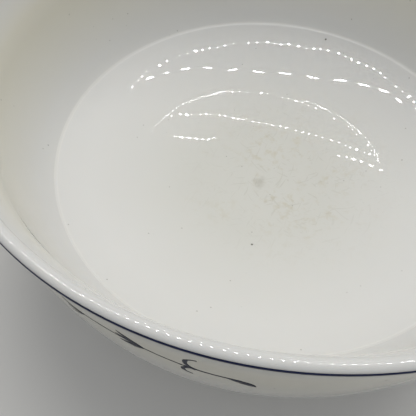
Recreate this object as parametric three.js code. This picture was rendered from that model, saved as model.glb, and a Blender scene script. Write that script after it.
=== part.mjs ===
// A round porcelain serving bowl: a thrown body with a dished floor, an upright wall and a flared rim,
// a foot ring luted under it, and a cobalt line let into the rim's outer edge.
// Millimetres, +Z up. The origin is the centre of the foot ring's standing face.
import * as THREE from "three";

// Overall sizes.
const RIM_RADIUS = 120; // widest point of the rim
const HEIGHT = 105; // standing face to the top of the rim

// Inside.
const FLOOR_HEIGHT = 10.2; // lowest point of the dished floor
const WELL_INSET = 18; // the ring where floor and wall meet lies this far inside the rim's edge
const WELL_HEIGHT = 42;
const LIP_HEIGHT = 22; // the lip starts to flare this far below the top of the rim
const LIP_FLARE = 4.3; // how far the lip's inner face leans out over that height
const RIM_EDGE_RADIUS = 1.9; // half the thickness of the rounded rim

// Outside.
const BASE = 6.3; // thickness of the floor
const SHOULDER_DROP = 15; // the wall turns upright this far below the top of the rim
const SHOULDER_INSET = 1.5; // and stands this far inside the rim's edge
const HEEL_RISE = 10; // the wall starts to turn under this far above the well ring
const HEEL_INSET = 3.5;
const HEEL_LEAN = 0.158; // sideways per upright millimetre there
const HEEL_WRAP = 4; // the turned-under heel runs into the underside this far inside the well ring

// Foot ring and line.
const FOOT_OUTER_RADIUS = 60;
const FOOT_WIDTH = 7.5; // where the ring joins the body
const FOOT_TAPER = 1.1; // how far each side slopes in by the standing face
const FOOT_ROUND = 1.3; // rounding of the two standing edges
const LINE_ABOVE = 1; // how far the cobalt line reaches round the rim above its widest point
const LINE_BELOW = 1.3; // and below it
const LINE_DEPTH = 0.4;

// How full the section's curves are. Each pair is how far along and up its stretch a curve's handle
// reaches from the end named first.
const WALL_LEAVES_WELL = [0.55, 0.16];
const WALL_MEETS_LIP = [0.08, 0.44];
const LIP_LEAVES_WALL = [0, 0.35];
const LIP_MEETS_EDGE = [0.33, 0.25];
const NECK_LEAVES_LINE = [0.8, 0.25];
const NECK_MEETS_SHOULDER = [0, 0.45];
const SHOULDER_HANDLE = 0.34; // the rest as a share of the drop or run to the next place
const HEEL_UPPER_HANDLE = 0.32;
const HEEL_LOWER_HANDLE = 0.55;
const UNDERSIDE_HANDLE = 0.62;

// Fineness of the facets.
const TURN_STEPS = 64;
const FLOOR_STEPS = 6;
const WALL_STEPS = 5;
const LIP_STEPS = 3;
const EDGE_STEPS = 2; // for each side of the rim's crest
const HEEL_STEPS = 4;
const UNDER_STEPS = 3;
const ROUND_STEPS = 3;
const LINE_STEPS = 2;

const point = (r, z) => new THREE.Vector2(r, z);

// Points along a cubic curve, without its first point, so that stretches can be chained.
const curve = (from, leave, arrive, to, steps) =>
  new THREE.CubicBezierCurve(from, leave, arrive, to).getPoints(steps).slice(1);

// A place between two ends of a stretch: shares [along, up] of the way from one to the other.
const between = (from, to, [along, up]) =>
  point(from.x + (to.x - from.x) * along, from.y + (to.y - from.y) * up);

// Points along a circular arc, without its first point.
function arc(centre, radius, from, to, steps) {
  return Array.from({ length: steps }, (_, i) => {
    const angle = from + ((to - from) * (i + 1)) / steps;
    return point(centre.x + radius * Math.cos(angle), centre.y + radius * Math.sin(angle));
  });
}

// Floor and underside are two spheres about one centre, BASE apart.
const wellRadius = RIM_RADIUS - WELL_INSET;
const dishRise = WELL_HEIGHT - FLOOR_HEIGHT;
const dishRadius = (wellRadius ** 2 + dishRise ** 2) / (2 * dishRise);
const dishCentre = point(0, FLOOR_HEIGHT + dishRadius);
const underRadius = dishRadius + BASE;
const angleAt = (r, radius) => -Math.PI / 2 + Math.asin(r / radius);
const underPoint = (r) => point(r, dishCentre.y - Math.sqrt(underRadius ** 2 - r ** 2));

// A stretch of the underside between two radii, without its first point.
const underside = (from, to, steps) =>
  arc(dishCentre, underRadius, angleAt(from, underRadius), angleAt(to, underRadius), steps);

// Places on the section that several stretches share.
const edgeCentre = point(RIM_RADIUS - RIM_EDGE_RADIUS, HEIGHT - RIM_EDGE_RADIUS);
const lipTop = point(edgeCentre.x - RIM_EDGE_RADIUS, edgeCentre.y);
const lipFoot = point(lipTop.x - LIP_FLARE, HEIGHT - LIP_HEIGHT);
const well = point(wellRadius, WELL_HEIGHT);
const floorCentre = point(0, FLOOR_HEIGHT);
const shoulder = point(RIM_RADIUS - SHOULDER_INSET, HEIGHT - SHOULDER_DROP);
const heel = point(RIM_RADIUS - HEEL_INSET, WELL_HEIGHT + HEEL_RISE);
const heelEnd = underPoint(wellRadius - HEEL_WRAP);
const footOut = FOOT_OUTER_RADIUS;
const footIn = FOOT_OUTER_RADIUS - FOOT_WIDTH;

// The cobalt line starts and ends at these turns round the rim's edge, from its widest point.
const lineStart = LINE_ABOVE / RIM_EDGE_RADIUS;
const lineStop = -LINE_BELOW / RIM_EDGE_RADIUS;

// From the centre of the floor, over the well ring, up the wall and over the rim to the cobalt line.
const insideLine = [
  floorCentre,
  ...arc(dishCentre, dishRadius, -Math.PI / 2, angleAt(wellRadius, dishRadius), FLOOR_STEPS),
  ...curve(
    well,
    between(well, lipFoot, WALL_LEAVES_WELL),
    between(lipFoot, well, WALL_MEETS_LIP),
    lipFoot,
    WALL_STEPS,
  ),
  ...curve(
    lipFoot,
    between(lipFoot, lipTop, LIP_LEAVES_WALL),
    between(lipTop, lipFoot, LIP_MEETS_EDGE),
    lipTop,
    LIP_STEPS,
  ),
  ...arc(edgeCentre, RIM_EDGE_RADIUS, Math.PI, Math.PI / 2, EDGE_STEPS),
  ...arc(edgeCentre, RIM_EDGE_RADIUS, Math.PI / 2, lineStart, EDGE_STEPS),
];

// The cobalt line lies in a groove that follows the rounded rim. Both are drawn by this arc.
const lineArc = (radius) => [
  point(edgeCentre.x + radius * Math.cos(lineStart), edgeCentre.y + radius * Math.sin(lineStart)),
  ...arc(edgeCentre, radius, lineStart, 0, LINE_STEPS),
  ...arc(edgeCentre, radius, 0, lineStop, LINE_STEPS),
];
const lineFace = lineArc(RIM_EDGE_RADIUS);
const groove = lineArc(RIM_EDGE_RADIUS - LINE_DEPTH);
const lineEnd = lineFace.at(-1);

// From under the line, down the wall and round the heel to the foot ring's outer edge.
const fall = shoulder.y - heel.y;
const turn = heel.y - heelEnd.y;
const wrap = heel.x - heelEnd.x;
const undersideSlope = Math.tan(Math.asin(heelEnd.x / underRadius));
const outsideLine = [
  lineEnd,
  ...curve(
    lineEnd,
    between(lineEnd, shoulder, NECK_LEAVES_LINE),
    between(shoulder, lineEnd, NECK_MEETS_SHOULDER),
    shoulder,
    LIP_STEPS,
  ),
  ...curve(
    shoulder,
    point(shoulder.x, shoulder.y - fall * SHOULDER_HANDLE),
    point(heel.x + HEEL_LEAN * fall * HEEL_UPPER_HANDLE, heel.y + fall * HEEL_UPPER_HANDLE),
    heel,
    WALL_STEPS,
  ),
  ...curve(
    heel,
    point(heel.x - HEEL_LEAN * turn * HEEL_LOWER_HANDLE, heel.y - turn * HEEL_LOWER_HANDLE),
    point(heelEnd.x + wrap * UNDERSIDE_HANDLE, heelEnd.y + wrap * UNDERSIDE_HANDLE * undersideSlope),
    heelEnd,
    HEEL_STEPS,
  ),
  ...underside(heelEnd.x, footOut, UNDER_STEPS),
];

// The faces that the foot ring and the body share.
const footSeat = [underPoint(footOut), ...underside(footOut, footIn, 2)];
const backToAxis = underside(footIn, 0, UNDER_STEPS).slice(0, -1);
const undersideCentre = point(0, FLOOR_HEIGHT - BASE);

// The foot ring: its seat on the underside, tapering sides and a rounded standing edge.
function footLine() {
  const inner = footIn + FOOT_TAPER;
  const outer = footOut - FOOT_TAPER;
  return [
    ...footSeat,
    point(inner, FOOT_ROUND),
    ...arc(point(inner + FOOT_ROUND, FOOT_ROUND), FOOT_ROUND, -Math.PI, -Math.PI / 2, ROUND_STEPS),
    point(outer - FOOT_ROUND, 0),
    ...arc(point(outer - FOOT_ROUND, FOOT_ROUND), FOOT_ROUND, -Math.PI / 2, 0, ROUND_STEPS),
    footSeat[0],
  ];
}

const bodyLine = [
  ...insideLine,
  ...groove,
  ...outsideLine,
  ...footSeat.slice(1),
  ...backToAxis,
  undersideCentre,
].reverse();

const rimLine = [...groove, ...lineFace.slice().reverse(), groove[0]];

const glazedPorcelain = new THREE.MeshStandardMaterial({ color: 0xe6e4dc, roughness: 0.08, metalness: 0 });
const barePorcelain = new THREE.MeshStandardMaterial({ color: 0xe0d8c6, roughness: 0.8, metalness: 0 });
const cobalt = new THREE.MeshStandardMaterial({ color: 0x1f2a5c, roughness: 0.1, metalness: 0 });

const bowl = new THREE.Group();

// A lathe turns its outline about Y, and the bowl stands along +Z.
function addTurned(name, outline, material) {
  const mesh = new THREE.Mesh(new THREE.LatheGeometry(outline, TURN_STEPS), material);
  mesh.name = name;
  mesh.rotation.x = Math.PI / 2;
  bowl.add(mesh);
}

addTurned("bowl_body", bodyLine, glazedPorcelain);
addTurned("foot_ring", footLine(), barePorcelain);
addTurned("rim_line", rimLine, cobalt);

export default bowl;
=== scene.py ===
import math
import random

import bpy
from mathutils import Matrix, Vector


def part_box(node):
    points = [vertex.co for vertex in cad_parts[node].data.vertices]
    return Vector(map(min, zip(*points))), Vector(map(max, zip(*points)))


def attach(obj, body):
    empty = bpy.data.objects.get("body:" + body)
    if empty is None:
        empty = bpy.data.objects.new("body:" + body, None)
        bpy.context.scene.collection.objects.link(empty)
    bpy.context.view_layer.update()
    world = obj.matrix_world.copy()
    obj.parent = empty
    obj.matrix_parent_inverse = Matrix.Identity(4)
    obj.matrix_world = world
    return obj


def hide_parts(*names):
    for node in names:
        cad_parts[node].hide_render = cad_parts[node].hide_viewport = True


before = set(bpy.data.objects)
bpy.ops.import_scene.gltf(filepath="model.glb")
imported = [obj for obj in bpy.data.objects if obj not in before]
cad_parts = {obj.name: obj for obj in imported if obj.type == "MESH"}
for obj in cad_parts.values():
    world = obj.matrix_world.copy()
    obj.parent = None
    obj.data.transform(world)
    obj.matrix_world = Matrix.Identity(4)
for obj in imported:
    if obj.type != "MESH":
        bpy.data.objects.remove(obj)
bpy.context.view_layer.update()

MM = 0.001

BODY_LOW, BODY_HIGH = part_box("bowl_body")
FOOT_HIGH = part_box("foot_ring")[1]
LINE_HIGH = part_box("rim_line")[1]

# Sizes in millimetres. Those with HIGH or LOW come from the frame, and the rest repeat the part's design.
RIM_RADIUS = LINE_HIGH[0] / MM
HEIGHT = BODY_HIGH[2] / MM
UNDERSIDE = BODY_LOW[2] / MM
FOOT_OUTER = FOOT_HIGH[0] / MM
BASE = 6.3
FLOOR_HEIGHT = UNDERSIDE + BASE
WELL_INSET = 18
WELL_RADIUS = RIM_RADIUS - WELL_INSET
WELL_HEIGHT = 42
LIP_HEIGHT = 22
LIP_FLARE = 4.3
EDGE_RADIUS = 1.9
SHOULDER_INSET = 1.5
SHOULDER_DROP = 15
SHOULDER = (RIM_RADIUS - SHOULDER_INSET, HEIGHT - SHOULDER_DROP)
HEEL_INSET = 3.5
HEEL_RISE = 10
HEEL = (RIM_RADIUS - HEEL_INSET, WELL_HEIGHT + HEEL_RISE)
HEEL_LEAN = 0.158
HEEL_WRAP = 4
FOOT_WIDTH = 7.5
FOOT_INNER = FOOT_OUTER - FOOT_WIDTH
FOOT_TAPER = 1.1
FOOT_ROUND = 1.3
LINE_ABOVE = 1.0
LINE_BELOW = 1.3
LINE_DEPTH = 0.4
WELL_SOFTENING = 0.5  # the glaze rounds the ring where floor and wall meet this far to each side
UNEVEN = 0.25  # how far the hand-thrown wall strays from true, always inwards
UNEVEN_WAVES = 14.0  # and how many times in a metre
CLOSED_WITHIN = 0.002  # points nearer than this are one, at the seam and poles

# How full the section's curves are: how far along and up its stretch each handle reaches.
WALL_LEAVES_WELL = (0.55, 0.16)
WALL_MEETS_LIP = (0.08, 0.44)
LIP_LEAVES_WALL = (0, 0.35)
LIP_MEETS_EDGE = (0.33, 0.25)
NECK_LEAVES_LINE = (0.8, 0.25)
NECK_MEETS_SHOULDER = (0, 0.45)
SHOULDER_HANDLE = 0.34
HEEL_UPPER_HANDLE = 0.32
HEEL_LOWER_HANDLE = 0.55
UNDERSIDE_HANDLE = 0.62
SOFT_HANDLE = 0.6

# Fineness of the turned pieces.
TURN_STEPS = 240
FLOOR_STEPS = 54
SOFT_STEPS = 10
WALL_STEPS = 40
LIP_STEPS = 14
CREST_STEPS = (9, 6)  # inside and outside of the rim's highest point
LINE_STEPS = 4
NECK_STEPS = 10
OUTSIDE_STEPS = 18
HEEL_STEPS = 20
UNDER_STEPS = 12
SEAT_STEPS = 3
HOLLOW_STEPS = 20
FOOT_SIDE_STEPS = 6
FOOT_ROUND_STEPS = 5
FOOT_FLAT_STEPS = 3


# ---------------------------------------------------------------- sections of the turned pieces

def arc(centre, radius, start, end, steps):
    """Points on a circular arc, without its first point."""
    turns = [start + (end - start) * (i + 1) / steps for i in range(steps)]
    return [(centre[0] + radius * math.cos(t), centre[1] + radius * math.sin(t)) for t in turns]


def curve(a, b, c, d, steps):
    """Points on a cubic curve, without its first point."""
    points = []
    for i in range(steps):
        t = (i + 1) / steps
        u = 1 - t
        shares = (u ** 3, 3 * u * u * t, 3 * u * t * t, t ** 3)
        points.append(tuple(sum(s * p[k] for s, p in zip(shares, (a, b, c, d))) for k in (0, 1)))
    return points


def between(a, b, along, up):
    """A place between two others: shares of the way along and up from one to the other."""
    return (a[0] + (b[0] - a[0]) * along, a[1] + (b[1] - a[1]) * up)


DISH_RISE = WELL_HEIGHT - FLOOR_HEIGHT
DISH_RADIUS = (WELL_RADIUS ** 2 + DISH_RISE ** 2) / (2 * DISH_RISE)
DISH_CENTRE = (0, FLOOR_HEIGHT + DISH_RADIUS)
UNDER_RADIUS = DISH_RADIUS + BASE
EDGE_CENTRE = (RIM_RADIUS - EDGE_RADIUS, HEIGHT - EDGE_RADIUS)
LINE_START = LINE_ABOVE / EDGE_RADIUS
LINE_STOP = -LINE_BELOW / EDGE_RADIUS


def angle_at(r, radius):
    """The turn at which an upright circle about the axis reaches a radius r from it."""
    return -math.pi / 2 + math.asin(r / radius)


def under_point(r):
    """The place on the underside at a radius r."""
    return (r, DISH_CENTRE[1] - math.sqrt(UNDER_RADIUS ** 2 - r ** 2))


def underside(start, end, steps):
    """Points on the underside between two radii, without the first."""
    return arc(DISH_CENTRE, UNDER_RADIUS, angle_at(start, UNDER_RADIUS), angle_at(end, UNDER_RADIUS), steps)


def inside_section():
    """From the centre of the floor, over the well ring, up the wall and over the rim to the line."""
    well = (WELL_RADIUS, WELL_HEIGHT)
    lip_top = (EDGE_CENTRE[0] - EDGE_RADIUS, EDGE_CENTRE[1])
    lip_foot = (lip_top[0] - LIP_FLARE, HEIGHT - LIP_HEIGHT)
    floor_end = angle_at(WELL_RADIUS - WELL_SOFTENING, DISH_RADIUS)
    floor = arc(DISH_CENTRE, DISH_RADIUS, -math.pi / 2, floor_end, FLOOR_STEPS)
    wall = curve(
        well, between(well, lip_foot, *WALL_LEAVES_WELL),
        between(lip_foot, well, *WALL_MEETS_LIP), lip_foot, WALL_STEPS)
    wall = [p for p in wall if math.dist(p, well) > WELL_SOFTENING]
    soft = curve(
        floor[-1], between(floor[-1], well, SOFT_HANDLE, SOFT_HANDLE),
        between(wall[0], well, SOFT_HANDLE, SOFT_HANDLE), wall[0], SOFT_STEPS)[:-1]
    lip = curve(
        lip_foot, between(lip_foot, lip_top, *LIP_LEAVES_WALL),
        between(lip_top, lip_foot, *LIP_MEETS_EDGE), lip_top, LIP_STEPS)
    edge = arc(EDGE_CENTRE, EDGE_RADIUS, math.pi, math.pi / 2, CREST_STEPS[0])
    edge += arc(EDGE_CENTRE, EDGE_RADIUS, math.pi / 2, LINE_START, CREST_STEPS[1])
    return [(0, FLOOR_HEIGHT)] + floor + soft + wall + lip + edge


def line_arc(radius):
    """The cobalt line's face, or the groove under it, from its upper edge down."""
    x, z = EDGE_CENTRE
    first = (x + radius * math.cos(LINE_START), z + radius * math.sin(LINE_START))
    upper = arc(EDGE_CENTRE, radius, LINE_START, 0, LINE_STEPS)
    lower = arc(EDGE_CENTRE, radius, 0, LINE_STOP, LINE_STEPS)
    return [first] + upper + lower


def outside_section():
    """From under the cobalt line, down the wall and round the heel to the foot ring."""
    line_end = line_arc(EDGE_RADIUS)[-1]
    heel_end = under_point(WELL_RADIUS - HEEL_WRAP)
    fall = SHOULDER[1] - HEEL[1]
    turn = HEEL[1] - heel_end[1]
    wrap = HEEL[0] - heel_end[0]
    slope = math.tan(math.asin(heel_end[0] / UNDER_RADIUS))
    neck = curve(
        line_end, between(line_end, SHOULDER, *NECK_LEAVES_LINE),
        between(SHOULDER, line_end, *NECK_MEETS_SHOULDER), SHOULDER, NECK_STEPS)
    wall = curve(
        SHOULDER, (SHOULDER[0], SHOULDER[1] - fall * SHOULDER_HANDLE),
        (HEEL[0] + HEEL_LEAN * fall * HEEL_UPPER_HANDLE, HEEL[1] + fall * HEEL_UPPER_HANDLE),
        HEEL, OUTSIDE_STEPS)
    heel = curve(
        HEEL, (HEEL[0] - HEEL_LEAN * turn * HEEL_LOWER_HANDLE, HEEL[1] - turn * HEEL_LOWER_HANDLE),
        (heel_end[0] + wrap * UNDERSIDE_HANDLE, heel_end[1] + wrap * UNDERSIDE_HANDLE * slope),
        heel_end, HEEL_STEPS)
    return [line_end] + neck + wall + heel + underside(heel_end[0], FOOT_OUTER, UNDER_STEPS)


def body_section():
    """The whole body, from the centre of the floor round to the centre of the underside."""
    groove = line_arc(EDGE_RADIUS - LINE_DEPTH)
    seat = underside(FOOT_OUTER, FOOT_INNER, SEAT_STEPS)
    hollow = underside(FOOT_INNER, 0, HOLLOW_STEPS)[:-1]
    return inside_section() + groove + outside_section() + seat + hollow + [(0, UNDERSIDE)]


def straight(a, b, steps):
    """Points on a straight line, without its first point."""
    return [between(a, b, k / steps, k / steps) for k in range(1, steps + 1)]


def foot_section():
    """The standing ring, as a closed outline that starts and ends at its outer top corner."""
    inner = FOOT_INNER + FOOT_TAPER
    outer = FOOT_OUTER - FOOT_TAPER
    inner_round = (inner + FOOT_ROUND, FOOT_ROUND)
    outer_round = (outer - FOOT_ROUND, FOOT_ROUND)
    top = under_point(FOOT_OUTER)
    seat = underside(FOOT_OUTER, FOOT_INNER, SEAT_STEPS)
    inside = straight(seat[-1], (inner, FOOT_ROUND), FOOT_SIDE_STEPS)
    inside += arc(inner_round, FOOT_ROUND, -math.pi, -math.pi / 2, FOOT_ROUND_STEPS)
    standing = straight((inner_round[0], 0), (outer_round[0], 0), FOOT_FLAT_STEPS)
    outside = arc(outer_round, FOOT_ROUND, -math.pi / 2, 0, FOOT_ROUND_STEPS)
    outside += straight((outer, FOOT_ROUND), top, FOOT_SIDE_STEPS)
    return ([top] + seat + inside + standing + outside)[::-1]


def line_section():
    """The cobalt line in its groove, as a closed outline."""
    face = line_arc(EDGE_RADIUS)
    groove = line_arc(EDGE_RADIUS - LINE_DEPTH)
    return face + groove[::-1] + [face[0]]


# ---------------------------------------------------------------- small tools

def colour(code):
    """An sRGB hex value as the linear colour that shaders and lights take."""
    parts = [int(code[i:i + 2], 16) / 255 for i in (0, 2, 4)]
    return tuple(p / 12.92 if p <= 0.04045 else ((p + 0.055) / 1.055) ** 2.4 for p in parts) + (1.0,)


def add(tree, kind, sockets=None, **settings):
    """Adds a node. settings are its own settings; sockets fills its inputs, by name or number, with values
    or with other nodes' outputs."""
    node = tree.nodes.new(kind)
    for key, value in settings.items():
        setattr(node, key, value)
    for key, value in (sockets or {}).items():
        if isinstance(value, bpy.types.NodeSocket):
            tree.links.new(value, node.inputs[key])
        else:
            node.inputs[key].default_value = value
    return node


def new_object(name, points, edges=(), faces=()):
    """A mesh object at the origin, in the scene."""
    mesh = bpy.data.meshes.new(name)
    mesh.from_pydata(points, edges, faces)
    made = bpy.data.objects.new(name, mesh)
    bpy.context.scene.collection.objects.link(made)
    return made


def run_tree(made, tree, values):
    """Runs a geometry tree on an object with these inputs, and leaves the result as its plain mesh."""
    modifier = made.modifiers.new("shape", "NODES")
    modifier.node_group = tree
    for item in tree.interface.items_tree:
        if item.item_type == "SOCKET" and item.in_out == "INPUT" and item.name in values:
            modifier[item.identifier] = values[item.name]
    graph = bpy.context.evaluated_depsgraph_get()
    graph.update()
    result = bpy.data.meshes.new_from_object(made.evaluated_get(graph), depsgraph=graph)
    made.modifiers.remove(modifier)
    made.data = result
    return made


def new_tree(name, inputs):
    """A geometry tree with its named inputs: pairs of socket type and default value."""
    tree = bpy.data.node_groups.new(name, "GeometryNodeTree")
    tree.interface.new_socket("Geometry", in_out="INPUT", socket_type="NodeSocketGeometry")
    for label, (kind, value) in inputs.items():
        socket = tree.interface.new_socket(label, in_out="INPUT", socket_type=kind)
        if value is not None:
            socket.default_value = value
    tree.interface.new_socket("Geometry", in_out="OUTPUT", socket_type="NodeSocketGeometry")
    return tree, tree.nodes.new("NodeGroupInput"), tree.nodes.new("NodeGroupOutput")


# ---------------------------------------------------------------- geometry trees

def turning_tree():
    """Turns a section about the axis, as on a wheel: a grid with one row for each point of the section and
    one column for each step of the turn, rolled round the axis and closed at its seam and poles."""
    tree, given, out = new_tree("turned ware", {
        "Section Points": ("NodeSocketInt", 2),
        "Turn Steps": ("NodeSocketInt", 96),
        "Uneven": ("NodeSocketFloat", 0.0),
        "Uneven Scale": ("NodeSocketFloat", 10.0),
        "Material": ("NodeSocketMaterial", None),
    })
    columns = add(tree, "ShaderNodeMath", {
        0: given.outputs["Turn Steps"], 1: 1.0}, operation="ADD").outputs[0]
    grid = add(tree, "GeometryNodeMeshGrid", {
        "Vertices X": given.outputs["Section Points"], "Vertices Y": columns})
    index = add(tree, "GeometryNodeInputIndex").outputs[0]
    row = add(tree, "ShaderNodeMath", {0: index, 1: columns}, operation="DIVIDE").outputs[0]
    row = add(tree, "ShaderNodeMath", {0: row}, operation="FLOOR").outputs[0]
    column = add(tree, "ShaderNodeMath", {0: index, 1: columns}, operation="MODULO").outputs[0]
    share = add(tree, "ShaderNodeMath", {
        0: column, 1: given.outputs["Turn Steps"]}, operation="DIVIDE").outputs[0]
    angle = add(tree, "ShaderNodeMath", {0: share, 1: math.tau}, operation="MULTIPLY").outputs[0]
    place = add(tree, "GeometryNodeInputPosition").outputs[0]
    sample = add(tree, "GeometryNodeSampleIndex", {
        "Geometry": given.outputs["Geometry"], "Index": row}, data_type="FLOAT_VECTOR")
    tree.links.new(place, sample.inputs["Value"])
    turned = add(tree, "ShaderNodeVectorRotate", {
        "Vector": sample.outputs["Value"], "Angle": angle}, rotation_type="Z_AXIS").outputs[0]
    noise = add(tree, "ShaderNodeTexNoise", {
        "Vector": turned, "Scale": given.outputs["Uneven Scale"], "Detail": 1.0}, noise_dimensions="3D")
    shift = add(tree, "ShaderNodeMath", {
        0: noise.outputs["Fac"], 1: given.outputs["Uneven"]}, operation="MULTIPLY").outputs[0]
    keep = add(tree, "ShaderNodeMath", {0: 1.0, 1: shift}, operation="SUBTRACT").outputs[0]
    scale = add(tree, "ShaderNodeCombineXYZ", {"X": keep, "Y": keep, "Z": 1.0}).outputs[0]
    final = add(tree, "ShaderNodeVectorMath", {0: turned, 1: scale}, operation="MULTIPLY").outputs[0]
    shaped = add(tree, "GeometryNodeSetPosition", {"Geometry": grid.outputs["Mesh"], "Position": final})
    merged = add(tree, "GeometryNodeMergeByDistance", {
        "Geometry": shaped.outputs[0], "Distance": CLOSED_WITHIN * MM})
    smooth = add(tree, "GeometryNodeSetShadeSmooth", {"Geometry": merged.outputs[0]})
    real = add(tree, "GeometryNodeRealizeInstances", {"Geometry": smooth.outputs[0]})
    done = add(tree, "GeometryNodeSetMaterial", {
        "Geometry": real.outputs[0], "Material": given.outputs["Material"]})
    tree.links.new(done.outputs[0], out.inputs[0])
    return tree


def brushing_tree():
    """Lays flat brush strokes on the wall. X of a flat stroke runs round the wall, Y is its height, and Z
    its thickness: 0 for the face bedded in the glaze and 1 for the face that shows."""
    tree, given, out = new_tree("brushed on the wall", {
        "Wall": ("NodeSocketObject", None),
        "Wall Radius": ("NodeSocketFloat", 0.1),
        "Reach": ("NodeSocketFloat", 0.2),
        "Bedding": ("NodeSocketFloat", 0.0001),
        "Thickness": ("NodeSocketFloat", 0.0002),
        "Material": ("NodeSocketMaterial", None),
    })
    place = add(tree, "GeometryNodeInputPosition").outputs[0]
    flat = add(tree, "ShaderNodeSeparateXYZ", {0: place})
    angle = add(tree, "ShaderNodeMath", {
        0: flat.outputs["X"], 1: given.outputs["Wall Radius"]}, operation="DIVIDE").outputs[0]
    across = add(tree, "ShaderNodeMath", {0: angle}, operation="SINE").outputs[0]
    towards = add(tree, "ShaderNodeMath", {0: angle}, operation="COSINE").outputs[0]
    back = add(tree, "ShaderNodeMath", {0: towards, 1: -1.0}, operation="MULTIPLY").outputs[0]
    outward = add(tree, "ShaderNodeCombineXYZ", {"X": across, "Y": back, "Z": 0.0}).outputs[0]
    start = add(tree, "ShaderNodeVectorMath", {
        0: outward, "Scale": given.outputs["Reach"]}, operation="SCALE").outputs[0]
    height = add(tree, "ShaderNodeCombineXYZ", {"Z": flat.outputs["Y"]}).outputs[0]
    start = add(tree, "ShaderNodeVectorMath", {0: start, 1: height}, operation="ADD").outputs[0]
    inward = add(tree, "ShaderNodeVectorMath", {0: outward, "Scale": -1.0}, operation="SCALE").outputs[0]
    wall = add(tree, "GeometryNodeObjectInfo", {"Object": given.outputs["Wall"]})
    ray = add(tree, "GeometryNodeRaycast", {
        "Target Geometry": wall.outputs["Geometry"], "Source Position": start,
        "Ray Direction": inward, "Ray Length": given.outputs["Reach"]})
    lift = add(tree, "ShaderNodeMath", {
        0: flat.outputs["Z"], 1: given.outputs["Thickness"]}, operation="MULTIPLY").outputs[0]
    lift = add(tree, "ShaderNodeMath", {
        0: lift, 1: given.outputs["Bedding"]}, operation="SUBTRACT").outputs[0]
    offset = add(tree, "ShaderNodeVectorMath", {
        0: ray.outputs["Hit Normal"], "Scale": lift}, operation="SCALE").outputs[0]
    final = add(tree, "ShaderNodeVectorMath", {
        0: ray.outputs["Hit Position"], 1: offset}, operation="ADD").outputs[0]
    laid = add(tree, "GeometryNodeSetPosition", {"Geometry": given.outputs["Geometry"], "Position": final})
    smooth = add(tree, "GeometryNodeSetShadeSmooth", {"Geometry": laid.outputs[0]})
    real = add(tree, "GeometryNodeRealizeInstances", {"Geometry": smooth.outputs[0]})
    done = add(tree, "GeometryNodeSetMaterial", {
        "Geometry": real.outputs[0], "Material": given.outputs["Material"]})
    tree.links.new(done.outputs[0], out.inputs[0])
    return tree


# ---------------------------------------------------------------- materials

def new_material(name):
    """A material with its tree, its shader and the object's own coordinates in metres."""
    material = bpy.data.materials.new(name)
    material.use_nodes = True
    tree = material.node_tree
    shader = tree.nodes["Principled BSDF"]
    coords = add(tree, "ShaderNodeTexCoord").outputs["Object"]
    return material, tree, shader, coords


# The glaze's marks, in millimetres.
WORN_PLACE = (14 * MM, 6 * MM, 0)  # middle of the rubbed patch on the floor
WORN_REACH = 66
WORN_FULL = 0.25 * WORN_REACH  # the patch is at its most rubbed within this of its middle
CENTRE_SHADE = (88, 35)  # painted shade: the floor greys from the first of these distances from its centre to the second
SCRATCH_LAYS = ((0.4, 12), (1.35, 15), (2.5, 13))  # a direction, and how many times longer than wide
SCRATCH_WIDTH = 1.1
STAIN = (9, 5)  # the centre mark's outer edge, and where it is at its darkest
STAIN_RAGGED = 9  # how far its edge strays inwards
WALL_TINT_STARTS = (WELL_HEIGHT + 8, WELL_HEIGHT + 40)  # the wall's tone turns warmer and a little darker between these heights
WALL_TINT_ENDS = (HEIGHT - 3, HEIGHT - 16)  # and is back to the plain tone by the rim
# painted shade: the lip greys towards the rim between these heights
LIP_SHADE_STARTS = (HEIGHT - 14, HEIGHT - 5)
BAND = (1.6, 0.5)  # half-width of the band on the well ring, faint and full; it holds a painted highlight and a rougher glaze


def per_mm(size):
    """A texture's scale for a pattern whose cells or waves are this many millimetres across."""
    return 1 / (size * MM)


def specks(tree, coords, spacing, radius, share):
    """Scattered round specks, 1 inside one: their spacing and radius in millimetres, and the share of the
    places that hold one."""
    cells = add(tree, "ShaderNodeTexVoronoi", {"Vector": coords, "Scale": per_mm(spacing)})
    inside = add(tree, "ShaderNodeMapRange", {
        "Value": cells.outputs["Distance"], "From Min": radius / spacing, "From Max": 0.5 * radius / spacing})
    pick = add(tree, "ShaderNodeSeparateColor", {"Color": cells.outputs["Color"]})
    held = add(tree, "ShaderNodeMath", {0: pick.outputs["Red"], 1: share}, operation="LESS_THAN")
    both = add(tree, "ShaderNodeMath", {0: inside.outputs[0], 1: held.outputs[0]}, operation="MULTIPLY")
    return both.outputs[0]


def facing_in(tree, coords):
    """1 on the inside of the bowl and 0 on its underside, which lie at two distances from one centre."""
    reach = add(tree, "ShaderNodeVectorMath", {
        0: coords, 1: (0, 0, DISH_CENTRE[1] * MM)}, operation="DISTANCE")
    inside = add(tree, "ShaderNodeMath", {
        0: reach.outputs["Value"], 1: (DISH_RADIUS + BASE / 2) * MM}, operation="LESS_THAN")
    return inside.outputs[0]


def rubbed(tree, coords, inside):
    """How near a place is to the middle of the rubbed patch on the floor: 1 there and 0 well away."""
    offset = add(tree, "ShaderNodeVectorMath", {0: coords, 1: WORN_PLACE}, operation="SUBTRACT")
    level = add(tree, "ShaderNodeVectorMath", {0: offset.outputs[0], 1: (1, 1, 0)}, operation="MULTIPLY")
    reach = add(tree, "ShaderNodeVectorMath", {0: level.outputs[0]}, operation="LENGTH")
    near = add(tree, "ShaderNodeMapRange", {
        "Value": reach.outputs["Value"], "From Min": WORN_REACH * MM, "From Max": WORN_FULL * MM})
    return add(tree, "ShaderNodeMath", {0: near.outputs[0], 1: inside}, operation="MULTIPLY").outputs[0]


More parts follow.
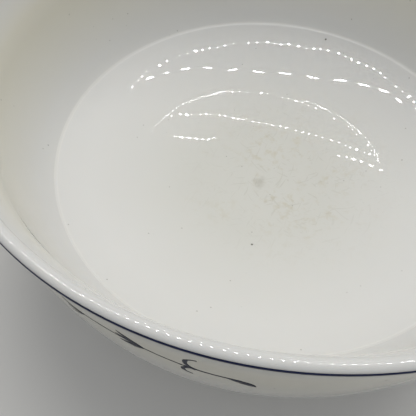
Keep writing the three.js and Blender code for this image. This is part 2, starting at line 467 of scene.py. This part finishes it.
def smudges(tree, coords, near):
    """Ragged smudges left by food and spoons, in loose groups within the rubbed patch."""
    ragged = add(tree, "ShaderNodeTexNoise", {
        "Vector": coords, "Scale": per_mm(5), "Detail": 5.0, "Roughness": 0.62})
    grouped = add(tree, "ShaderNodeTexNoise", {"Vector": coords, "Scale": per_mm(22), "Detail": 2.0})
    ragged = add(tree, "ShaderNodeMapRange", {
        "Value": ragged.outputs["Fac"], "From Min": 0.52, "From Max": 0.68})
    grouped = add(tree, "ShaderNodeMapRange", {
        "Value": grouped.outputs["Fac"], "From Min": 0.42, "From Max": 0.6})
    marks = add(tree, "ShaderNodeMath", {0: ragged.outputs[0], 1: grouped.outputs[0]}, operation="MULTIPLY")
    return add(tree, "ShaderNodeMath", {0: marks.outputs[0], 1: near}, operation="MULTIPLY").outputs[0]


def scratches(tree, coords, near):
    """Hair-fine scratches, drawn a little wider than life so that they show: long thin waves laid in three
    directions, which wander a little from straight."""
    wander = add(tree, "ShaderNodeTexNoise", {"Vector": coords, "Scale": per_mm(18), "Detail": 1.0})
    drift = add(tree, "ShaderNodeVectorMath", {
        0: wander.outputs["Color"], "Scale": 7 * MM}, operation="SCALE")
    place = add(tree, "ShaderNodeVectorMath", {0: coords, 1: drift.outputs[0]}, operation="ADD")
    cuts = []
    for turn, length in SCRATCH_LAYS:
        laid = add(tree, "ShaderNodeMapping", {
            "Vector": place.outputs[0], "Rotation": (0, 0, turn), "Scale": (length, 1, 1)},
            vector_type="TEXTURE")
        waves = add(tree, "ShaderNodeTexNoise", {
            "Vector": laid.outputs[0], "Scale": per_mm(SCRATCH_WIDTH), "Detail": 0.0})
        cuts.append(add(tree, "ShaderNodeMapRange", {
            "Value": waves.outputs["Fac"], "From Min": 0.72, "From Max": 0.78}).outputs[0])
    found = cuts[0]
    for cut in cuts[1:]:
        found = add(tree, "ShaderNodeMath", {0: found, 1: cut}, operation="MAXIMUM").outputs[0]
    return add(tree, "ShaderNodeMath", {0: found, 1: near}, operation="MULTIPLY").outputs[0]


def wall_tint(tree, height):
    """Where the wall's tone is warmer: 1 on the upright wall, and 0 on the floor and by the rim."""
    above = add(tree, "ShaderNodeMapRange", {
        "Value": height, "From Min": WALL_TINT_STARTS[0] * MM, "From Max": WALL_TINT_STARTS[1] * MM})
    below = add(tree, "ShaderNodeMapRange", {
        "Value": height, "From Min": WALL_TINT_ENDS[0] * MM, "From Max": WALL_TINT_ENDS[1] * MM})
    both = add(tree, "ShaderNodeMath", {0: above.outputs[0], 1: below.outputs[0]}, operation="MULTIPLY")
    return both.outputs[0]


def well_band(tree, radius, height):
    """The ring inside the bowl where floor and wall meet: 1 on it and 0 a little way off."""
    place = add(tree, "ShaderNodeCombineXYZ", {"X": radius, "Z": height})
    off = add(tree, "ShaderNodeVectorMath", {
        0: place.outputs[0], 1: (WELL_RADIUS * MM, 0, WELL_HEIGHT * MM)}, operation="DISTANCE")
    band = add(tree, "ShaderNodeMapRange", {
        "Value": off.outputs["Value"], "From Min": BAND[0] * MM, "From Max": BAND[1] * MM})
    return band.outputs[0]


def wheel_stain(tree, coords, radius, inside):
    """The ragged mark left at the centre of the floor when the pot came off the wheel."""
    jitter = add(tree, "ShaderNodeTexNoise", {"Vector": coords, "Scale": per_mm(4), "Detail": 4.0})
    edge = add(tree, "ShaderNodeMath", {
        0: jitter.outputs["Fac"], 1: STAIN_RAGGED * MM, 2: radius}, operation="MULTIPLY_ADD")
    stain = add(tree, "ShaderNodeMapRange", {
        "Value": edge.outputs[0], "From Min": STAIN[0] * MM, "From Max": STAIN[1] * MM, "To Max": inside})
    return stain.outputs[0]


def over(tree, base, share, tint, most):
    """Lays a tint over a colour by a share of at most this much."""
    share = add(tree, "ShaderNodeMath", {0: share, 1: most}, operation="MULTIPLY").outputs[0]
    return add(tree, "ShaderNodeMix", {0: share, 6: base, 7: colour(tint)}, data_type="RGBA").outputs[2]


def glazed_porcelain():
    """Hard-paste porcelain under a clear feldspar glaze, dipped and fired. It gives the eye a faintly warm
    white, a wet gloss that wavers a little, a warmer and slightly darker tone up the wall, pinholes and
    iron specks, and on the floor the smudges and scratches of long use. Painted shade greys the lip and the
    middle of the floor, and a painted highlight lightens the well ring."""
    material, tree, shader, coords = new_material("glazed_porcelain")
    height = add(tree, "ShaderNodeSeparateXYZ", {0: coords}).outputs["Z"]
    level = add(tree, "ShaderNodeVectorMath", {0: coords, 1: (1, 1, 0)}, operation="MULTIPLY")
    radius = add(tree, "ShaderNodeVectorMath", {0: level.outputs[0]}, operation="LENGTH").outputs["Value"]
    inside = facing_in(tree, coords)
    near = rubbed(tree, coords, inside)
    smudge = smudges(tree, coords, near)
    scratch = scratches(tree, coords, near)
    ring = well_band(tree, radius, height)

    cloud = add(tree, "ShaderNodeTexNoise", {"Vector": coords, "Scale": per_mm(70), "Detail": 3.0})
    tone = add(tree, "ShaderNodeMix", {
        0: cloud.outputs["Fac"], 6: colour("dcdcda"), 7: colour("e1e1df")}, data_type="RGBA").outputs[2]
    painted_centre_shade = add(tree, "ShaderNodeMapRange", {
        "Value": radius, "From Min": CENTRE_SHADE[0] * MM, "From Max": CENTRE_SHADE[1] * MM, "To Max": inside})
    lip = add(tree, "ShaderNodeMapRange", {
        "Value": height, "From Min": LIP_SHADE_STARTS[0] * MM, "From Max": LIP_SHADE_STARTS[1] * MM})
    # A warmer, slightly darker tone up the wall.
    tone = over(tree, tone, wall_tint(tree, height), "dbd8ca", 0.95)
    # Painted shade: the lip is greyed towards the rim.
    tone = over(tree, tone, lip.outputs[0], "cdcdca", 0.45)
    # Painted shade: the middle of the floor is greyed, standing in for a soft shadow over it.
    tone = over(tree, tone, painted_centre_shade.outputs[0], "c9c9c0", 0.55)
    # Painted highlight: a faint lighter line along the well ring.
    tone = over(tree, tone, ring, "ecebe6", 0.3)
    tone = over(tree, tone, smudge, "a8965a", 0.26)
    tone = over(tree, tone, scratch, "8d8670", 0.14)
    tone = over(tree, tone, wheel_stain(tree, coords, radius, inside), "8b8470", 0.30)

    # Iron specks and pinholes, the finest drawn a little larger than life so that they show.
    tone = over(tree, tone, specks(tree, coords, 6, 0.42, 0.42), "5c5646", 0.45)
    iron = specks(tree, coords, 17, 0.75, 0.5)
    tone = over(tree, tone, iron, "3c372c", 0.85)
    tree.links.new(tone, shader.inputs["Base Color"])

    dull = add(tree, "ShaderNodeMath", {0: ring, 1: 2.0, 2: smudge}, operation="MULTIPLY_ADD")
    rough = add(tree, "ShaderNodeMapRange", {
        "Value": dull.outputs[0], "From Max": 2.0, "To Min": 0.006, "To Max": 0.4})
    tree.links.new(rough.outputs[0], shader.inputs["Roughness"])
    shader.inputs["IOR"].default_value = 1.52
    shader.inputs["Subsurface Weight"].default_value = 0.08
    shader.inputs["Subsurface Radius"].default_value = (1.0, 0.8, 0.6)
    shader.inputs["Subsurface Scale"].default_value = 1.5 * MM

    # The glaze lies in slow waves with a faint orange-peel, and dips into each speck.
    waves = add(tree, "ShaderNodeTexNoise", {"Vector": coords, "Scale": per_mm(16), "Detail": 1.0})
    peel = add(tree, "ShaderNodeTexNoise", {"Vector": coords, "Scale": per_mm(2.4), "Detail": 2.0})
    relief = add(tree, "ShaderNodeMath", {
        0: peel.outputs["Fac"], 1: 0.06, 2: waves.outputs["Fac"]}, operation="MULTIPLY_ADD")
    relief = add(tree, "ShaderNodeMath", {0: iron, 1: -0.2, 2: relief.outputs[0]}, operation="MULTIPLY_ADD")
    bump = add(tree, "ShaderNodeBump", {"Height": relief.outputs[0], "Strength": 0.35, "Distance": 0.12 * MM})
    tree.links.new(bump.outputs[0], shader.inputs["Normal"])
    return material


def bare_porcelain():
    """Porcelain wiped clean of glaze before firing, so that the ring doesn't stick to the kiln shelf. It
    gives the eye a dry, sandy, warm white with grit and grey rub marks on the standing face."""
    material, tree, shader, coords = new_material("bare_porcelain")
    height = add(tree, "ShaderNodeSeparateXYZ", {0: coords}).outputs["Z"]
    cloud = add(tree, "ShaderNodeTexNoise", {"Vector": coords, "Scale": per_mm(18), "Detail": 5.0})
    tone = add(tree, "ShaderNodeMix", {
        0: cloud.outputs["Fac"], 6: colour("e3d9c4"), 7: colour("cfc0a4")}, data_type="RGBA").outputs[2]
    low = add(tree, "ShaderNodeMapRange", {"Value": height, "From Min": 3.5 * MM, "From Max": 0.2 * MM})
    grime = add(tree, "ShaderNodeTexNoise", {"Vector": coords, "Scale": per_mm(5), "Detail": 6.0})
    grime = add(tree, "ShaderNodeMapRange", {
        "Value": grime.outputs["Fac"], "From Min": 0.4, "From Max": 0.7, "To Min": 0.1, "To Max": 0.6})
    tone = over(tree, tone, add(tree, "ShaderNodeMath", {
        0: low.outputs[0], 1: grime.outputs[0]}, operation="MULTIPLY").outputs[0], "8d8373", 1.0)
    tone = over(tree, tone, specks(tree, coords, 3.2, 0.3, 0.35), "6a5c48", 1.0)
    tree.links.new(tone, shader.inputs["Base Color"])
    shader.inputs["Roughness"].default_value = 0.78
    shader.inputs["IOR"].default_value = 1.5
    grit = add(tree, "ShaderNodeTexNoise", {"Vector": coords, "Scale": per_mm(0.7), "Detail": 3.0})
    rings = add(tree, "ShaderNodeTexNoise", {"W": height, "Scale": per_mm(0.9)}, noise_dimensions="1D")
    relief = add(tree, "ShaderNodeMath", {
        0: rings.outputs["Fac"], 1: 0.8, 2: grit.outputs["Fac"]}, operation="MULTIPLY_ADD")
    bump = add(tree, "ShaderNodeBump", {"Height": relief.outputs[0], "Strength": 0.5, "Distance": 0.12 * MM})
    tree.links.new(bump.outputs[0], shader.inputs["Normal"])
    return material


def cobalt(name, deep, thin):
    """Cobalt oxide brushed on the raw body and glazed over. It gives the eye a near-black navy where the
    brush paused and a greyer blue where it ran dry, with less sheen than the bare glaze."""
    material, tree, shader, coords = new_material(name)
    pool = add(tree, "ShaderNodeTexNoise", {
        "Vector": coords, "Scale": per_mm(4.5), "Detail": 3.0, "Roughness": 0.6})
    dry = add(tree, "ShaderNodeTexNoise", {"Vector": coords, "Scale": per_mm(0.8), "Detail": 2.0})
    wash = add(tree, "ShaderNodeMath", {
        0: dry.outputs["Fac"], 1: 0.4, 2: pool.outputs["Fac"]}, operation="MULTIPLY_ADD")
    share = add(tree, "ShaderNodeMapRange", {"Value": wash.outputs[0], "From Min": 0.45, "From Max": 0.95})
    tone = add(tree, "ShaderNodeMix", {
        0: share.outputs[0], 6: colour(deep), 7: colour(thin)}, data_type="RGBA")
    tree.links.new(tone.outputs[2], shader.inputs["Base Color"])
    shader.inputs["Roughness"].default_value = 0.3
    shader.inputs["IOR"].default_value = 1.52
    shader.inputs["Specular IOR Level"].default_value = 0.05
    bump = add(tree, "ShaderNodeBump", {"Height": wash.outputs[0], "Strength": 0.2, "Distance": 0.05 * MM})
    tree.links.new(bump.outputs[0], shader.inputs["Normal"])
    return material


# ---------------------------------------------------------------- turned pieces

def turned(name, tree, section, material, node, slot):
    """A piece turned from its section, which takes the place of its plain solid."""
    points = [(r * MM, 0, z * MM) for r, z in section]
    made = new_object(name, points, edges=[(i, i + 1) for i in range(len(points) - 1)])
    run_tree(made, tree, {
        "Section Points": len(points), "Turn Steps": TURN_STEPS, "Uneven": UNEVEN / RIM_RADIUS,
        "Uneven Scale": UNEVEN_WAVES, "Material": material})
    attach(made, "root")
    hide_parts(node)
    return made


# ---------------------------------------------------------------- brush strokes

STROKE_STEPS = 22
STROKE_ROWS = 4
THINNEST = 0.04  # a stroke never gets narrower than this share of its width
SPRAY_COUNT = 5
SPRAY_ROOT = (1.5, 80.5)  # along the wall from its front, and up
SPRAY_STRAY = 3  # how far a spray may sit from its even place
STEM_LENGTH = 42
STEM_RISE = 5
STEM_WIDTH = 0.85
STEM_STEPS = 20
CURL_AT = 4  # the step of the stem where the curls grow
LEAVES_AT = 11
CURL_WIDTH = 1.25
LEAF_STROKES = ((2.45, 10.5, 2.2), (2.8, 9.0, 1.9), (3.35, 8.0, 2.0))  # direction, length and width
TENDRILS = ((2.75, 7.5), (3.3, 6.0), (3.75, 6.5))  # direction and length
STROKE_BEDDING = 0.06
STROKE_THICKNESS = 0.12


def belly(t, fullest):
    """A leaf stroke's width along its length: pressed down to its fullest and lifted to a point."""
    side = t / fullest if t < fullest else (1 - t) / (1 - fullest)
    return max(math.sin(side * math.pi / 2), 0.0) ** 0.8


def hair(t, fullest):
    """A fine line's width: a firm start that thins out to its end."""
    return 0.35 + 0.65 * (1 - t) if t > fullest else 1.0


def stroke(points, faces, path, width, shape, fullest, draw):
    """Adds one flat closed brush stroke, along a cubic path in the wall's own millimetres, to points and
    faces. Its two faces are Z 0 and 1."""
    start = len(points)
    rows = STROKE_ROWS + 1
    line = [path[0]] + curve(*path, STROKE_STEPS)
    for i, (x, y) in enumerate(line):
        before = line[max(i - 1, 0)]
        after = line[min(i + 1, STROKE_STEPS)]
        run = math.hypot(after[0] - before[0], after[1] - before[1])
        side = (-(after[1] - before[1]) / run, (after[0] - before[0]) / run)
        t = i / STROKE_STEPS
        half = width / 2 * max(shape(t, fullest), THINNEST) * (1 + draw.uniform(-0.07, 0.07))
        for layer in (0, 1):
            for j in range(rows):
                reach = half * (2 * j / STROKE_ROWS - 1)
                points.append(((x + side[0] * reach) * MM, (y + side[1] * reach) * MM, float(layer)))

    def corner(i, layer, j):
        return start + (i * 2 + layer) * rows + j

    for i in range(STROKE_STEPS):
        for j in range(STROKE_ROWS):
            faces.append((corner(i, 1, j), corner(i + 1, 1, j), corner(i + 1, 1, j + 1), corner(i, 1, j + 1)))
            faces.append((corner(i, 0, j + 1), corner(i + 1, 0, j + 1), corner(i + 1, 0, j), corner(i, 0, j)))
        faces.append((corner(i, 0, 0), corner(i + 1, 0, 0), corner(i + 1, 1, 0), corner(i, 1, 0)))
        faces.append((corner(i, 1, STROKE_ROWS), corner(i + 1, 1, STROKE_ROWS),
                      corner(i + 1, 0, STROKE_ROWS), corner(i, 0, STROKE_ROWS)))
    for i, order in ((0, 1), (STROKE_STEPS, -1)):
        for j in range(STROKE_ROWS):
            cap = (corner(i, 0, j), corner(i, 1, j), corner(i, 1, j + 1), corner(i, 0, j + 1))
            faces.append(cap[::order])


def bent(x, y, angle, length, bend):
    """A cubic path from a place, at an angle, that bends to one side by a share of its length."""
    reach = (math.cos(angle) * length, math.sin(angle) * length)
    side = (-reach[1] * bend, reach[0] * bend)
    return ((x, y), (x + reach[0] * 0.33 + side[0], y + reach[1] * 0.33 + side[1]),
            (x + reach[0] * 0.7 + side[0], y + reach[1] * 0.7 + side[1]), (x + reach[0], y + reach[1]))


def curl(stems, x, y, across, up, draw):
    """An open hook that rises from the stem, or drops from it, with its back to the left."""
    path = ((x, y), (x - across, y + 0.1 * up), (x - 1.3 * across, y + 0.9 * up), (x + 0.1 * across, y + up))
    stroke(*stems, path, CURL_WIDTH, hair, 0.7, draw)


def twig(stems, leaves, x0, y0, draw):
    """One spray, growing to the left from its root at x0, y0: an arching stem, a heavy root stroke, a
    cluster of three leaves, hooked curls above and below the stem, and hair-fine tendrils at its tip."""
    tip = (x0 - STEM_LENGTH, y0 + STEM_RISE)
    stem = ((x0, y0), (x0 - 12, y0 - 0.5), (x0 - 25, tip[1]), tip)
    stroke(*stems, stem, STEM_WIDTH, hair, 0.3, draw)
    stroke(*leaves, bent(x0 - 2, y0 + 0.3, -0.56, 10.5, 0.10), 3.0, belly, 0.62, draw)
    line = curve(*stem, STEM_STEPS)

    x, y = line[CURL_AT]
    curl(stems, x, y, 3.4, 9.5, draw)
    curl(stems, x - 1.4, y, 2.8, -6.5, draw)
    stroke(*stems, bent(x, y - 0.5, 2.95, 4.6, -0.15), 1.5, hair, 0.6, draw)

    for angle, length, width in LEAF_STROKES:
        reach = length * (1 + draw.uniform(-0.1, 0.1))
        stroke(*leaves, bent(*line[LEAVES_AT], angle, reach, 0.10), width, belly, 0.42, draw)
    for angle, length in TENDRILS:
        stroke(*stems, bent(*tip, angle, length, 0.16), 0.5, hair, 0.2, draw)


def sprays(tree, wall):
    """Sprays round the wall, in two pieces: the leaves and heavy strokes, and the stems."""
    draw = random.Random(7)
    stems = ([], [])
    leaves = ([], [])
    wall_radius = SHOULDER[0]
    gap = math.tau * wall_radius / SPRAY_COUNT
    for n in range(SPRAY_COUNT):
        stray = draw.uniform(-SPRAY_STRAY, SPRAY_STRAY) if n else 0
        twig(stems, leaves, SPRAY_ROOT[0] + n * gap + stray, SPRAY_ROOT[1] + stray * 0.4, draw)
    parts = (
        ("brushed_leaves", leaves, cobalt("cobalt_leaf", "090d20", "161e3a")),
        ("brushed_stems", stems, cobalt("cobalt_stem", "10142a", "242a3e")),
    )
    for name, (points, faces), material in parts:
        made = new_object(name, points, faces=faces)
        run_tree(made, tree, {
            "Wall": wall, "Wall Radius": wall_radius * MM, "Reach": 2 * RIM_RADIUS * MM,
            "Bedding": STROKE_BEDDING * MM, "Thickness": STROKE_THICKNESS * MM, "Material": material})
        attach(made, "root")


# ---------------------------------------------------------------- stage, light and camera

TABLE_REACH = 3.0
LAMP_HEIGHT = 400
LAMP_SIDES = 8
PATH_STEPS = 60
LENS = 35
SENSOR = 36
CAMERA_PLACE = (0, -0.1397, 0.1907)
CAMERA_PAN = math.radians(-12.0)
CAMERA_TILT = math.radians(56.5)


def stage_floor():
    """A plain pale table top."""
    far = TABLE_REACH
    corners = [(-far, -far, 0), (far, -far, 0), (far, far, 0), (-far, far, 0)]
    made = new_object("table_top", corners, faces=[(0, 1, 2, 3)])
    material = bpy.data.materials.new("pale_table")
    material.use_nodes = True
    shader = material.node_tree.nodes["Principled BSDF"]
    shader.inputs["Base Color"].default_value = colour("d8d7d4")
    shader.inputs["Roughness"].default_value = 0.7
    made.data.materials.append(material)


def soft_lamp(name, place, aim, size, power, tint):
    """A round soft lamp that lights the bowl but doesn't show as a disc in its glaze."""
    light = bpy.data.lights.new(name, "AREA")
    light.shape = "DISK"
    light.size = size
    light.energy = power
    light.color = colour(tint)[:3]
    made = bpy.data.objects.new(name, light)
    turn = (Vector(place) - Vector(aim)).to_track_quat("Z", "Y")
    made.matrix_world = Matrix.Translation(place) @ turn.to_matrix().to_4x4()
    made.visible_glossy = False
    bpy.context.scene.collection.objects.link(made)
    return made


def lamp_row(name, path, count, lamp, strength, part=(0.0, 1.0)):
    """A curved row of small bright lamps, facing down, which only show as glints in the glaze. path is
    a cubic path seen from above; lamp is each one's half-length along the row and half-width; part is
    the stretch of the path that has lamps. All in millimetres."""
    material = bpy.data.materials.new(name)
    material.use_nodes = True
    tree = material.node_tree
    tree.nodes.clear()
    glow = add(tree, "ShaderNodeEmission", {"Strength": strength})
    add(tree, "ShaderNodeOutputMaterial", {"Surface": glow.outputs[0]})
    line = [path[0]] + curve(*path, PATH_STEPS)
    points, faces = [], []
    for i in range(count):
        place = (part[0] + (part[1] - part[0]) * i / (count - 1)) * PATH_STEPS
        k = min(int(place), PATH_STEPS - 1)
        along = Vector(line[k + 1]) - Vector(line[k])
        centre = Vector(line[k]) + along * (place - k)
        along.normalize()
        side = along.orthogonal()
        first = len(points)
        for n in range(LAMP_SIDES):
            turn = math.tau * n / LAMP_SIDES
            corner = centre + along * lamp[0] * math.cos(turn) + side * lamp[1] * math.sin(turn)
            points.append((corner.x * MM, corner.y * MM, LAMP_HEIGHT * MM))
        faces.append(tuple(range(first + LAMP_SIDES - 1, first - 1, -1)))
    made = new_object(name, points, faces=faces)
    made.data.materials.append(material)
    made.visible_camera = False
    made.visible_diffuse = False
    made.visible_shadow = False


def lamp_rows():
    """Strings of small lamps over the bowl; the last row shows only on the rim's crest."""
    outer = ((113, 202), (88, 20), (-75, 10), (-106, 163))
    second = ((101, 172), (72, 80), (-60, 72), (-94, 144))
    inner = ((83, 268), (75, 80), (-68, 74), (-80, 267))
    beads = ((78, 235), (66, 92), (-62, 84), (-79, 262))
    short = ((73, 215), (45, 160), (-30, 158), (-72, 230))
    low_left = ((65, 251), (56, 240), (46, 240), (38, 224))
    low_right = ((-51, 229), (-58, 232), (-68, 246), (-78, 266))
    crest = ((-290, 60), (-150, -78), (150, -78), (290, 65))
    lamp_row("lamps_outer", outer, 42, (0.65, 0.75), 280.0)
    lamp_row("lamps_second", second, 12, (5.2, 0.7), 130.0)
    lamp_row("strip_left", inner, 60, (1.2, 0.16), 40.0, (0.0, 0.36))
    lamp_row("strip_right", inner, 60, (1.2, 0.16), 40.0, (0.62, 1.0))
    lamp_row("lamps_beads", beads, 30, (0.45, 0.5), 150.0, (0.22, 0.97))
    lamp_row("lamps_short", short, 32, (0.4, 0.9), 130.0)
    lamp_row("lamps_low_left", low_left, 7, (1.6, 0.6), 70.0)
    lamp_row("lamps_low_right", low_right, 6, (1.6, 0.7), 120.0)
    lamp_row("lamps_crest", crest, 62, (1.4, 24.0), 60.0)


def studio():
    """Even light from all round, one main lamp behind and a weak one above, and the rows of glints."""
    world = bpy.data.worlds.new("studio")
    world.use_nodes = True
    back = world.node_tree.nodes["Background"]
    back.inputs["Color"].default_value = colour("e6e8ea")
    back.inputs["Strength"].default_value = 0.43
    bpy.context.scene.world = world
    soft_lamp("overhead", (0.1, 0.5, 1.2), (0, 0, 0.05), 1.0, 9.3, "fffdf9")
    soft_lamp("above", (0.0, -0.1, 1.1), (0, 0, 0.05), 1.4, 1.8, "fdfdff")
    lamp_rows()
    bpy.context.scene.view_settings.view_transform = "Standard"


def camera():
    """Looks down into the bowl from over its front rim."""
    data = bpy.data.cameras.new("camera")
    data.sensor_width = SENSOR
    data.lens = LENS
    data.clip_start = 0.01
    made = bpy.data.objects.new("camera", data)
    level = math.cos(CAMERA_TILT)
    ahead = Vector((math.sin(CAMERA_PAN) * level, math.cos(CAMERA_PAN) * level, -math.sin(CAMERA_TILT)))
    right = Vector((math.cos(CAMERA_PAN), -math.sin(CAMERA_PAN), 0))
    above = right.cross(ahead)
    turn = Matrix((right, above, -ahead)).transposed()
    made.matrix_world = Matrix.Translation(CAMERA_PLACE) @ turn.to_4x4()
    bpy.context.scene.collection.objects.link(made)
    bpy.context.scene.camera = made


# ---------------------------------------------------------------- putting it together

camera()
stage_floor()
studio()
wheel = turning_tree()
bowl = turned("porcelain_bowl", wheel, body_section(), glazed_porcelain(), "bowl_body", "glazed_porcelain")
turned("standing_ring", wheel, foot_section(), bare_porcelain(), "foot_ring", "bare_porcelain")
turned("cobalt_rim", wheel, line_section(), cobalt("cobalt_line", "0f1535", "1d2750"), "rim_line", "cobalt")
sprays(brushing_tree(), bowl)
